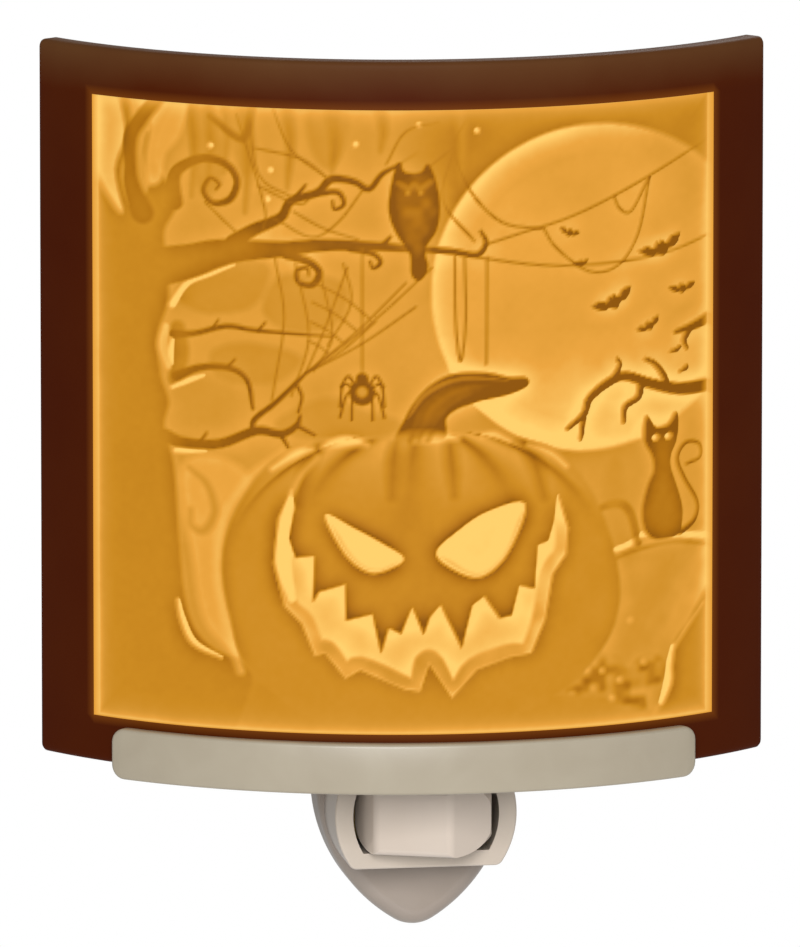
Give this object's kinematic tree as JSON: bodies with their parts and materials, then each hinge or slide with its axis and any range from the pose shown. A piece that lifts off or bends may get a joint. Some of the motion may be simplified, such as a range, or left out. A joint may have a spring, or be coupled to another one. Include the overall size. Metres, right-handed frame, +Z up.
{
  "type": "plug-in picture night light",
  "caption": "Plug-in night light: a curved porcelain picture panel in a turning tray, before a swivel-plug lamp with a rocker switch.",
  "frame": {"origin": "middle of the plug's wall face, on the axis that the lamp turns on the plug", "axes": "+X to the right of someone facing the panel, +Z up, +Y into the wall along the plug blades; the panel faces -Y, turned 8 degrees towards -X"},
  "size_m": [0.1098, 0.0606, 0.14],
  "materials": {
    "porcelain": "satin",
    "tray_plastic": "satin",
    "shell_plastic": "satin",
    "switch_plastic": "satin",
    "disc_plastic": "satin",
    "socket_plastic": "satin",
    "zinc_steel": "satin",
    "plated_brass": "satin",
    "brass": "satin",
    "cap_metal": "satin",
    "bulb_glass": "gloss",
    "stem_glass": "gloss",
    "black_glass": "gloss",
    "solder": "satin",
    "lead_wire": "satin",
    "tungsten": "satin"
  },
  "bodies": {
    "plug": {"plug_disc": "disc_plastic", "line_blade": "plated_brass", "neutral_blade": "plated_brass", "line_slip_ring": "brass", "neutral_slip_ring": "brass"},
    "lamp": {"front_shell": "shell_plastic", "rear_shell": "shell_plastic", "housing_screws": "zinc_steel", "socket_barrel": "socket_plastic", "socket_screw_shell": "brass", "centre_contact": "brass", "neutral_strip": "brass", "line_strip": "brass", "rocker_pin": "zinc_steel"},
    "rocker": {"rocker_switch": "switch_plastic", "rocker_contact": "brass"},
    "bulb": {"bulb_envelope": "bulb_glass", "bulb_cap": "cap_metal", "bulb_insulator": "black_glass", "bulb_tip_contact": "solder", "bulb_stem": "stem_glass", "bulb_lead_wires": "lead_wire", "bulb_filament": "tungsten"},
    "tray": {"panel_tray": "tray_plastic", "tray_arm": "tray_plastic"},
    "panel": {"lithophane_panel": "porcelain"}
  },
  "joints": [
    {"name": "plug_swivel", "type": "hinge", "parent": "plug", "child": "lamp", "pos_m": [0, 0, 0], "axis": [0, -1, 0], "range_deg": [-90, 90]},
    {"name": "rocker_tilt", "type": "hinge", "parent": "lamp", "child": "rocker", "pos_m": [0, -0.0185, 0.005], "axis": [0, 0, 1], "range_deg": [0, 44]},
    {"name": "bulb_turn", "type": "hinge", "parent": "lamp", "child": "bulb", "pos_m": [0, -0.0115, 0.03], "axis": [0, 0, 1], "range_deg": [0, 1800]},
    {"name": "tray_turn", "type": "hinge", "parent": "lamp", "child": "tray", "pos_m": [0, -0.0115, 0.0165], "axis": [0, 0, 1], "range_deg": [-12, 28]},
    {"name": "panel_lift", "type": "slide", "parent": "tray", "child": "panel", "axis": [0, 0, 1], "range_m": [0, 0.0085]}
  ]
}
